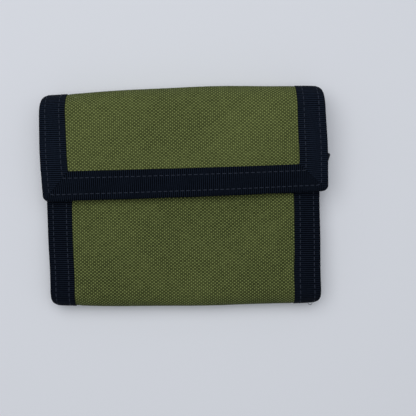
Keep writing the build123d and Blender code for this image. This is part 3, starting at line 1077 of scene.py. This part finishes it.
# ---- Inside the front panel: window pocket ----
WINDOW_START = 7.0
WINDOW_END = v_front_fold - 1.5
PANE_HALF = 39.0
OPENING_HEIGHT = 30.0
PANE_OVERLAP = 3.0
PANE_DEPTHS = (2.62, 2.80)
PANE_SEAM = 1.4  # the window's stitches beside its opening
open_low = (WINDOW_START + WINDOW_END - OPENING_HEIGHT) / 2
open_high = open_low + OPENING_HEIGHT
u, v, keep = opening_grid((WINDOW_START, open_low, open_high, WINDOW_END), PANE_HALF)
frame_cloth = slab("window_frame_cloth", u, v, *window_depths(u, v), pocket_olive, keep)
finish_piece(frame_cloth, "front_panel", "pocket_fabric", "window_frame")
pane_half = PANE_HALF + PANE_OVERLAP
pane_grid = rectangle(open_low - PANE_OVERLAP, open_high + PANE_OVERLAP, -pane_half, pane_half)
pane = slab("window_sheet", *pane_grid, *PANE_DEPTHS, vinyl)
finish_piece(pane, "front_panel", "clear_vinyl", "window_pane")
seams = StitchRun()
left, right = -PANE_HALF - PANE_SEAM, PANE_HALF + PANE_SEAM
low, high = open_low - PANE_SEAM, open_high + PANE_SEAM
corners = ((left, low), (right, low), (right, high), (left, high), (left, low))
for start, end in zip(corners, corners[1:]):
    line = np.linspace(start, end, 20)
    seams.add(line, window_depths(line[:, 0], line[:, 1])[1], POCKET_PITCH)
finish_piece(seams.build("stitches_window"), "front_panel", "pocket_fabric")

# ---- A loose thread end at the bottom fold's right corner ----
loose_place = (front_half - 5.3, v_bottom_middle - 2.0)
loose_end = capsules(
    "loose_thread", [loose_place], [(0.8, 0.6)], [-0.1], 3.2, 0.22, 0.22, thread, lift=1.3)
finish_piece(loose_end, "bottom_spine", "edge_tape")

# ---- Hook-and-loop closure ----
random = np.random.default_rng(7)
strip_low = corner_mm("hook_strip", 0)
strip_high = corner_mm("hook_strip", 1)
CLOSURE_STEP = 1.0
HOOK_DEPTHS = (1.75, 2.10)
LOOP_DEPTHS = (-0.62, -0.22)


def scatter(v_start, v_end, spacing, jitter):
    """A slightly uneven grid of points over the closure strip."""
    columns = np.arange(strip_low[0] + 0.8, strip_high[0] - 0.7, spacing)
    rows = np.arange(v_start + 0.7, v_end - 0.6, spacing)
    u, v = (table.ravel() for table in np.meshgrid(columns, rows))
    shift = random.uniform(-jitter, jitter, (2, len(u)))
    return np.column_stack((u + shift[0], v + shift[1]))


def arches(name, centres, base, length, width, rise, material):
    """Small loops of thread standing on a strip; a positive rise stands outward."""
    turns = random.uniform(0, math.pi, len(centres))
    directions = np.column_stack((np.cos(turns), np.sin(turns)))
    return capsules(
        name, centres, directions, np.full(len(centres), base), length, width, width, material,
        lift=rise)


def closure_backing(name, v_ends, depths, material):
    grid = rectangle(*v_ends, strip_low[0], strip_high[0], CLOSURE_STEP)
    return slab(name, *grid, *depths, material)


flap_plate_end = strip_length - FLAP_REACH
hook_v = tuple(flap_plate_end - (y - flap_edge_y) for y in (strip_high[1], strip_low[1]))
hook_backing = closure_backing("hook_backing", hook_v, HOOK_DEPTHS, hook_nylon)
finish_piece(hook_backing, "flap", "hook_tape", "hook_strip")
hooks = arches("hooks", scatter(*hook_v, 1.5, 0.15), 2.15, 1.1, 0.24, -0.7, hook_nylon)
finish_piece(hooks, "flap", "hook_tape")
loop_v = (front_edge_y - strip_high[1], front_edge_y - strip_low[1])
loop_backing = closure_backing("loop_backing", loop_v, LOOP_DEPTHS, loop_nylon)
finish_piece(loop_backing, "front_panel", "loop_tape", "loop_strip")
loops = arches("loops", scatter(*loop_v, 0.8, 0.3), -0.60, 1.6, 0.16, 0.6, loop_nylon)
finish_piece(loops, "front_panel", "loop_tape")

# ---- Zip hardware from the CAD, with softened edges and finishes ----
for node, material, width in (
    ("zip_slider", enamel, 0.22), ("zip_stops", enamel, 0.15), ("zip_pull_tab", rubber, 0.25)
):
    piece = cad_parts[node]
    piece.data.materials.clear()
    piece.data.materials.append(material)
    rounding = piece.modifiers.new("rounding", "BEVEL")
    rounding.width = width * MM
    rounding.segments = 3
    rounding.limit_method = "ANGLE"

# ---- Floor, light and camera ----
object_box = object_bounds()
scene = bpy.context.scene
FLOOR_HALF = 3.0
floor_z = object_box[0][2]
floor_mesh = bpy.data.meshes.new("floor")
floor_mesh.from_pydata(
    [(x * FLOOR_HALF, y * FLOOR_HALF, floor_z) for x, y in ((-1, -1), (1, -1), (1, 1), (-1, 1))],
    [], [(0, 1, 2, 3)])
paper = Finish("paper", roughness=0.85, specular=0.5)
paper.feed(paper.shader, {"Base Color": (0.77, 0.80, 0.86, 1)})
floor_mesh.materials.append(paper.material)
add_object("floor", floor_mesh)


def area_light(name, place, size, power, color):
    """A round lamp that points at the wallet."""
    data = bpy.data.lights.new(name, "AREA")
    data.shape = "DISK"
    data.size = size
    data.energy = power
    data.color = color
    light = add_object(name, data)
    light.location = place
    light.rotation_euler = (-Vector(place)).to_track_quat("-Z", "Y").to_euler()


area_light("key", (-0.15, 0.20, 0.80), 0.9, 4.3, (1.0, 0.985, 0.975))
area_light("fill", (0.25, 0.10, 0.95), 0.9, 1.9, (0.97, 0.98, 1.0))
world = bpy.data.worlds.new("studio")
scene.world = world
world.use_nodes = True
sky = world.node_tree.nodes["Background"].inputs
sky["Color"].default_value = (0.93, 0.96, 1.0, 1)
sky["Strength"].default_value = 0.22

CAMERA_PLACE = (0.01057, -0.00496, 0.360)
CAMERA_ROLL = math.radians(-1.79)
lens = bpy.data.cameras.new("camera")
lens.sensor_width = 36
lens.lens = 67.05
camera = add_object("camera", lens)
camera.location = CAMERA_PLACE
camera.rotation_euler = (0, 0, CAMERA_ROLL)
scene.camera = camera
scene.view_settings.view_transform = "Standard"
